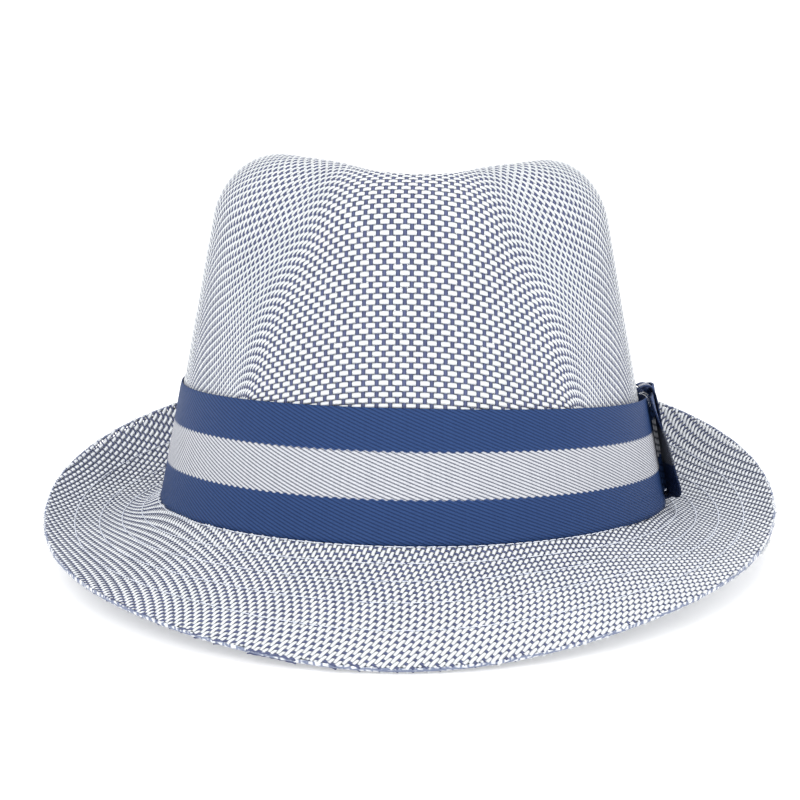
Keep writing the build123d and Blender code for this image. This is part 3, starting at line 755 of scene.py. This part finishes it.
def wall_fall(along):
    """How far the wall's foot lies inward of the bow, at a distance along the ribbon."""
    foot_x, foot_y = smooth_oval(np.array(BOW_ANGLE))
    x, y = smooth_oval(np.arcsin((foot_y + along) / HALF_LENGTH))
    outward = np.array([math.cos(BOW_ANGLE) / HALF_WIDTH, math.sin(BOW_ANGLE) / HALF_LENGTH])
    outward /= np.linalg.norm(outward)
    return (x - foot_x) * outward[0] + (y - foot_y) * outward[1]


def closed_ply(name, outer, inner, size, material, shaded_back):
    """One ply of ribbon from the rows of points of its two faces; size is its length and share of width.
    The outer face takes the first material; the inner face and the edges take the second, a darkened twill
    that is painted shade.
    """
    rows, columns = outer.shape[0] - 1, outer.shape[1] - 1
    width, count = columns + 1, (columns + 1) * (rows + 1)
    faces = []
    for row in range(rows):
        for column in range(columns):
            a = row * width + column
            faces.append((a, a + width, a + width + 1, a + 1))
            faces.append((count + a, count + a + 1, count + a + width + 1, count + a + width))
    border = list(range(columns)) + [columns + width * j for j in range(rows)]
    border += [rows * width + columns - i for i in range(columns)]
    border += [width * (rows - j) for j in range(rows)]
    for a, b in zip(border, border[1:] + border[:1]):
        faces.append((a, b, count + b, count + a))
    points = np.concatenate([outer.reshape(-1, 3), inner.reshape(-1, 3)])
    piece = new_mesh(name, points, faces, material)
    loops = np.zeros(len(piece.data.loops), int)
    piece.data.loops.foreach_get("vertex_index", loops)
    set_uv(piece, "cloth", size[loops % count])
    # the second slot is the painted shade twill, for the inner face and the edges
    piece.data.materials.append(shaded_back)
    face_material = np.ones(len(piece.data.polygons), int)
    face_material[0:2 * rows * columns:2] = 0
    piece.data.polygons.foreach_set("material_index", face_material)
    return piece


def build_wing(material, shaded_back):
    """The bow's front wing: one ply of ribbon that stands off the hat, its upper corner tacked down."""
    foot, outward, backward, up = bow_axes()
    share, way = np.meshgrid(np.linspace(0, 1, 49), np.linspace(0, 1, 29), indexing="ij")
    corner = np.maximum(0, 1 - share / WING_CORNER) ** 2.5
    free = (WING_FREE + (WING_TACKED - WING_FREE) * share ** 1.2) * (1 - WING_CURL * corner)
    reach = WING_REACH * (1 - WING_ROUND * corner)
    along = -(KNOT_WIDTH / 2 + WING_GAP) - reach * way
    rise = WING_BASE + (free - WING_BASE) * way ** 1.5 + WING_RIPPLE * np.sin(9 * share + 3 * way) * way
    rise += wall_fall(along)
    sheets = [foot + outward * (rise + ply)[..., None] + backward * along[..., None]
              + up * (BOW_BOTTOM + BOW_HEIGHT * share)[..., None] for ply in (BOW_PLY, 0.0)]
    size = np.stack([WING_REACH * way, share], axis=-1).reshape(-1, 2)
    piece = closed_ply("bow_front_wing_cloth", *sheets, size, material, shaded_back)
    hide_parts("bow_front_wing")
    return piece


def build_knot(material, shaded_back):
    """The knot: a narrow wrap of ribbon down the front of the bow, turned in at its top and bottom."""
    foot, outward, backward, up = bow_axes()
    path = np.array(KNOT_PATH)
    for _ in range(4):
        near, far = path[:-1] * 0.75 + path[1:] * 0.25, path[:-1] * 0.25 + path[1:] * 0.75
        path = np.concatenate([path[:1], np.stack([near, far], axis=1).reshape(-1, 2), path[-1:]])
    along_path = np.gradient(path, axis=0)
    along_path /= np.linalg.norm(along_path, axis=1, keepdims=True)
    run = np.concatenate([[0], np.cumsum(np.linalg.norm(np.diff(path, axis=0), axis=1))])
    way = np.linspace(1, -1, 15)
    half = KNOT_WIDTH / 2 * (1 - KNOT_WAIST * np.sin(np.pi * run / run[-1]))
    along = half[:, None] * way
    sheets = []
    for ply in (BOW_PLY / 2, -BOW_PLY / 2):
        rise = path[:, :1] + along_path[:, 1:] * ply - KNOT_CAMBER * way ** 2
        height = path[:, 1:] - along_path[:, :1] * ply + 0 * way
        sheet = foot + outward * rise[..., None] + backward * along[..., None] + up * height[..., None]
        sheets.append(sheet)
    size = np.stack(np.broadcast_arrays(run[:, None], (way + 1) / 2), axis=-1).reshape(-1, 2)
    piece = closed_ply("bow_knot_cloth", *sheets, size, material, shaded_back)
    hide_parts("bow_knot")


def build_tack(name, node, centre, material):
    """A loose loop of clear thread over the ribbon's upper edge, in the crown's straw at its top."""
    turns = np.linspace(0, 2 * np.pi, 40, endpoint=False)
    angle = centre + TACK_HALF_ANGLE * np.cos(turns)
    height = TACK_HEIGHT + TACK_HALF_HEIGHT * np.sin(turns) + TACK_BEND * np.sin(3 * turns)
    outward = TACK_IN + (TACK_OUT - TACK_IN) * (1 - np.maximum(np.sin(turns), 0) ** 2)
    path = band_points(angle, height, outward)
    along = np.roll(path, -1, axis=0) - np.roll(path, 1, axis=0)
    along /= np.linalg.norm(along, axis=1, keepdims=True)
    wall = band_points(angle, height, outward + 1.0) - path
    side = np.cross(along, wall)
    side /= np.linalg.norm(side, axis=1, keepdims=True)
    wall = np.cross(side, along)
    spokes = np.linspace(0, 2 * np.pi, 8, endpoint=False)
    points = [path + TACK_THREAD / 2 * (math.cos(t) * side + math.sin(t) * wall) for t in spokes]
    n, sides = len(turns), len(spokes)
    faces = [(k * n + i, k * n + (i + 1) % n, (k + 1) % sides * n + (i + 1) % n, (k + 1) % sides * n + i)
             for k in range(sides) for i in range(n)]
    piece = new_mesh(name, np.concatenate(points), faces, material)
    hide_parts(node)


def clear_thread_material(name):
    """Clear nylon thread, a little cloudy."""
    material, tree, shader = node_tree(name)
    where = add_node(tree, "ShaderNodeTexCoord").outputs["Object"]
    cloud = add_node(tree, "ShaderNodeTexNoise", {"Vector": where, "Scale": 900.0})
    tint = mixed(tree, cloud.outputs["Fac"], (0.86, 0.90, 0.94, 1), (0.96, 0.97, 0.98, 1))
    tree.links.new(tint, shader.inputs["Base Color"])
    shader.inputs["Roughness"].default_value = 0.12
    shader.inputs["IOR"].default_value = 1.5
    shader.inputs["Transmission Weight"].default_value = 0.85
    return material


def stitch_ring(x, y, depth):
    """Corners of a stitch's section, at each place seen from above and a depth below the brim's top."""
    centre, normal, angle, _ = brim_frame(x, y, depth)
    outward = np.stack([np.cos(angle) / HALF_WIDTH, np.sin(angle) / HALF_LENGTH, 0 * angle], axis=-1)
    outward -= normal * (outward * normal).sum(-1, keepdims=True)
    outward /= np.linalg.norm(outward, axis=-1, keepdims=True)
    side, up = outward * STITCH_THREAD / 2, normal * STITCH_THREAD / 2
    return np.stack([centre + side, centre + up, centre - side, centre - up], axis=1)


def stitch_faces(base):
    """Faces of one closed stitch, whose points start at a number."""
    faces = []
    for i in range(len(STITCH_PROFILE) - 1):
        for k in range(4):
            a, b = base + 4 * i + k, base + 4 * i + (k + 1) % 4
            faces.append((a, b, b + 4, a + 4))
    last = base + 4 * (len(STITCH_PROFILE) - 1)
    faces.append(tuple(base + k for k in (3, 2, 1, 0)))
    faces.append(tuple(last + k for k in (0, 1, 2, 3)))
    return faces


def stitch_row(name, node, share, material):
    """Lockstitches through the brim along one row, seen above and below it."""
    angle = np.linspace(0, 2 * np.pi, 2000, endpoint=False)
    start_x, start_y = smooth_oval(angle, JOIN_INSET)
    end_x, end_y, _ = rim_line(angle)
    x, y = start_x + (end_x - start_x) * share, start_y + (end_y - start_y) * share
    length = np.concatenate([[0], np.cumsum(np.hypot(np.diff(x), np.diff(y)))])
    count = int(length[-1] / STITCH_PITCH)
    points = []
    for depth, lift in ((0.02, 1), (BRIM_THICKNESS - 0.02, -1)):
        shift = 0 if lift > 0 else 0.5
        for along, rise in STITCH_PROFILE:
            place = (np.arange(count) + 0.5 + shift + along * STITCH_SHARE) * length[-1] / count
            stitch_x, stitch_y = np.interp(place, length, x), np.interp(place, length, y)
            points.append(stitch_ring(stitch_x, stitch_y, depth - lift * (rise - 0.75) * STITCH_THREAD))
    points = np.stack(points, axis=1).reshape(-1, 3)
    faces = []
    for stitch in range(count * 2):
        faces += stitch_faces(stitch * len(STITCH_PROFILE) * 4)
    piece = new_mesh(name, points, faces, material)
    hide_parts(node)


def build_rim(material):
    """The turned edge of straw that closes the rim over both plies."""
    columns = 720
    angle = np.linspace(0, 2 * np.pi, columns, endpoint=False)
    x, y, _ = rim_line(angle)
    points = []
    for inward, depth in TURNED_EDGE:
        share = 1 - inward / np.hypot(x, y)
        points.append(brim_frame(x * share, y * share, depth)[0])
    points = np.stack(points, axis=1)
    faces = [(a, d, c, b) for a, b, c, d in band_faces(columns, points.shape[1])]
    new_mesh("brim_turned_edge", points.reshape(-1, 3), faces, material)


def light(name, place, target, size, power):
    """A round soft lamp that faces a target."""
    data = bpy.data.lights.new(name, "AREA")
    data.shape, data.size, data.energy = "DISK", size, power
    lamp = bpy.data.objects.new(name, data)
    lamp.location = place
    lamp.rotation_euler = (Vector(target) - Vector(place)).to_track_quat("-Z", "Y").to_euler()
    bpy.context.scene.collection.objects.link(lamp)


def floor_material():
    """Plain pale paper that glows faintly, so that the hat's shadow stays light."""
    material, tree, shader = node_tree("floor")
    where = add_node(tree, "ShaderNodeTexCoord").outputs["Object"]
    cloud = add_node(tree, "ShaderNodeTexNoise", {"Vector": where, "Scale": 3.0})
    tint = mixed(tree, cloud.outputs["Fac"], (0.93, 0.93, 0.935, 1), (0.95, 0.95, 0.95, 1))
    tree.links.new(tint, shader.inputs["Base Color"])
    shader.inputs["Roughness"].default_value = 0.7
    shader.inputs["Emission Color"].default_value = (1.0, 1.0, 1.0, 1)
    shader.inputs["Emission Strength"].default_value = FLOOR_GLOW
    return material


def build_floor():
    """A flat square, just under the hat."""
    corners = [(x * FLOOR_HALF, y * FLOOR_HALF, 0) for x, y in ((-1, -1), (1, -1), (1, 1), (-1, 1))]
    mesh = bpy.data.meshes.new("floor")
    mesh.from_pydata(corners, [], [(0, 1, 2, 3)])
    mesh.materials.append(floor_material())
    floor = bpy.data.objects.new("floor", mesh)
    floor.location.z = -FLOOR_DROP
    bpy.context.scene.collection.objects.link(floor)


def studio():
    """White surroundings, three soft lamps and the floor."""
    bpy.context.scene.view_settings.view_transform = "Standard"
    build_floor()
    world = bpy.data.worlds.new("studio")
    world.use_nodes = True
    background = world.node_tree.nodes["Background"]
    background.inputs["Color"].default_value = (1.0, 1.0, 1.0, 1)
    background.inputs["Strength"].default_value = WORLD_STRENGTH
    bpy.context.scene.world = world
    light("key", (-0.6, -1.3, 1.1), (0, 0, 0.06), 1.4, 10)
    light("fill", (1.2, -0.9, 0.8), (0, 0, 0.06), 1.1, 4)
    light("top", (0.1, 0.3, 1.6), (0, 0, 0.08), 1.2, 9)


def camera():
    """The hat is seen straight from the front, a little above the headline's plane."""
    data = bpy.data.cameras.new("camera")
    data.lens, data.sensor_width = CAMERA_LENS, 36.0
    view = bpy.data.objects.new("camera", data)
    place, target = to_world([CAMERA_PLACE, CAMERA_TARGET])
    forward = Vector(target - place).normalized()
    up = Vector(SEAT[:3, 2])
    right = forward.cross(up).normalized()
    up = right.cross(forward)
    turn = Matrix((right, up, -forward)).transposed().to_4x4()
    view.matrix_world = Matrix.Translation(Vector(place)) @ turn
    bpy.context.scene.collection.objects.link(view)
    bpy.context.scene.camera = view


white_straw = straw_material("white_straw", (0.85, 0.87, 0.87, 1), (0.62, 0.65, 0.70, 1), 0.5)
navy_straw = straw_material("navy_straw", (0.105, 0.125, 0.25, 1), (0.035, 0.042, 0.095, 1), 0.6)
# each stripe's dark colour is the painted shade of the twill's grooves and ribs
twill = ribbon_material("striped_twill_face", ((0.80, 0.81, 0.86, 1), (0.07, 0.08, 0.11, 1)), NAVY_TWILL)
# a darkened copy of the twill: painted shade for the inner faces and edges of the bow's wing and knot
twill_painted_shade = ribbon_material("striped_twill_painted_shade", ((0.11, 0.12, 0.15, 1), (0.03, 0.035, 0.05, 1)),
                                ((0.016, 0.03, 0.085, 1), (0.005, 0.01, 0.03, 1)))
# the bow's white is set a little darker than the band's, painted shade on its rear loop and tail; its dark
# colours are the painted shade of the grooves
bow_twill = bow_material("striped_twill_bow", ((0.74, 0.75, 0.80, 1), (0.07, 0.08, 0.11, 1)), NAVY_TWILL)
pale_thread = cloth_material("pale_thread", (0.85, 0.87, 0.92, 1), (0.55, 0.6, 0.72, 1),
                             3000.0, 0.55, 0.00005)
band_cloth = cloth_material("sweatband_cotton", (0.030, 0.05, 0.14, 1), (0.012, 0.02, 0.06, 1),
                            900.0, 0.85, 0.0001)
label_cloth = cloth_material("label_satin", (0.80, 0.80, 0.78, 1), (0.62, 0.62, 0.60, 1),
                             1500.0, 0.45, 0.00004)
net_cloth = cloth_material("stiffener_net", (0.50, 0.54, 0.62, 1), (0.36, 0.40, 0.50, 1),
                           1200.0, 0.9, 0.00005)
turned_straw = woven_edge_material("turned_straw", (0.78, 0.80, 0.82, 1), (0.15, 0.18, 0.28, 1))
clear_thread = clear_thread_material("clear_thread")

net = draped_net()
for white, colour, material, width in ((True, "white", white_straw, STRIP_WIDTH),
                                       (False, "navy", navy_straw, WARP_WIDTH)):
    strips = crown_strips(net, white)
    half = len(strips) // 2
    for part, group in (("a", strips[:half]), ("b", strips[half:])):
        piece = lens_strips(f"crown_{colour}_strips_{part}", group, width, material)
        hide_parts("crown")
    for ply, depth in (("upper", UPPER_DEPTH), ("lower", LOWER_DEPTH)):
        strips = brim_strips(white, depth)
        piece = lens_strips(f"{ply}_brim_{colour}_strips", strips, width * BRIM_FINENESS, material)
        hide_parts(f"brim_{ply}_ply")

build_rim(turned_straw)
ribbon = build_ribbon(twill)
wing = build_wing(twill, twill_painted_shade)
build_knot(twill, twill_painted_shade)
for number, share in enumerate(STITCH_ROWS, 1):
    stitch_row(f"brim_stitches_{number}", f"brim_stitch_row_{number}", share, pale_thread)
for end, away in (("front", -TACK_AWAY), ("rear", TACK_AWAY)):
    build_tack(f"ribbon_tack_{end}_thread", f"ribbon_tack_{end}", BOW_ANGLE + away, clear_thread)

cad_looks = {"brim_stiffener": net_cloth, "headline_seam": pale_thread, "sweatband": band_cloth,
             "sweatband_seam": pale_thread, "sweatband_label": label_cloth, "bow_rear_loop": bow_twill,
             "bow_tail": bow_twill}
for node, material in cad_looks.items():
    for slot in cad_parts[node].material_slots:
        slot.material = material

studio()
camera()
